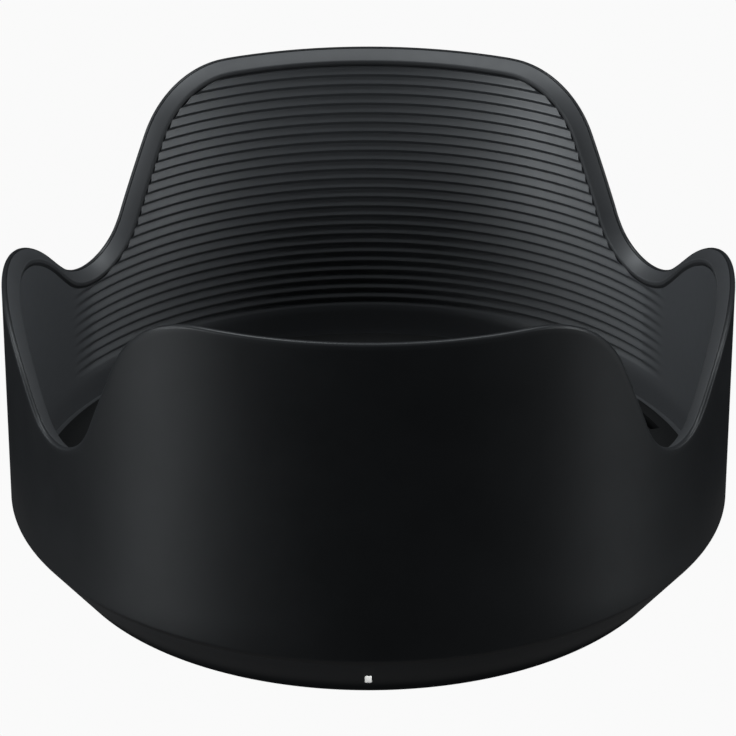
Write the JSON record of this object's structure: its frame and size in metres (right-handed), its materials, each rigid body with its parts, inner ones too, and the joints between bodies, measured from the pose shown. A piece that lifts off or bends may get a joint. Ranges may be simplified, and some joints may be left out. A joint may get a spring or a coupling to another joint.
{
  "type": "lens hood",
  "caption": "Petal lens hood with a tapered bayonet foot, a ribbed light trap inside, a chamfered rim trim and a spring-loaded push-button lock.",
  "frame": {"origin": "centre of the flat annular face at the mount end, on the optical axis", "axes": "+Z along the optical axis toward the subject, +Y and -Y through the tall petals with the index mark on the -Y side, +X and -X through the short petals"},
  "size_m": [0.094, 0.094, 0.0507],
  "materials": {
    "shell": "satin moulded black",
    "trim": "fine satin black",
    "foot": "satin moulded black",
    "baffle": "flat black",
    "button": "satin black with grip grooves",
    "lever": "satin dark acetal",
    "steel": "bright drawn steel",
    "screw": "blackened steel",
    "mark": "white paint fill"
  },
  "bodies": {
    "hood": {"hood_shell": "shell", "rim_trim": "trim", "foot_ring": "foot", "light_baffle": "baffle", "index_mark": "mark", "lever_pin": "steel", "baffle_screw_1": "screw", "baffle_screw_2": "screw", "baffle_screw_3": "screw", "baffle_screw_4": "screw", "lock_spring_a": "steel", "lock_spring_b": "steel"},
    "button": {"lock_button": "button"},
    "lever": {"lock_lever": "lever"}
  },
  "joints": [
    {"name": "button_press", "type": "slide", "parent": "hood", "child": "button", "axis": [-0.9063, -0.4226, 0], "range_m": [0, 0.0008], "deforming": ["lock_spring_a", "lock_spring_b"]},
    {"name": "lever_pivot", "type": "hinge", "parent": "hood", "child": "lever", "pos_m": [0.03202, 0.02593, 0.0049], "axis": [0, 0, 1], "range_deg": [-10, 0]}
  ],
  "couplings": [
    {"joint": "lever_pivot", "follows": "button_press", "rad_per_m": -212.5}
  ]
}
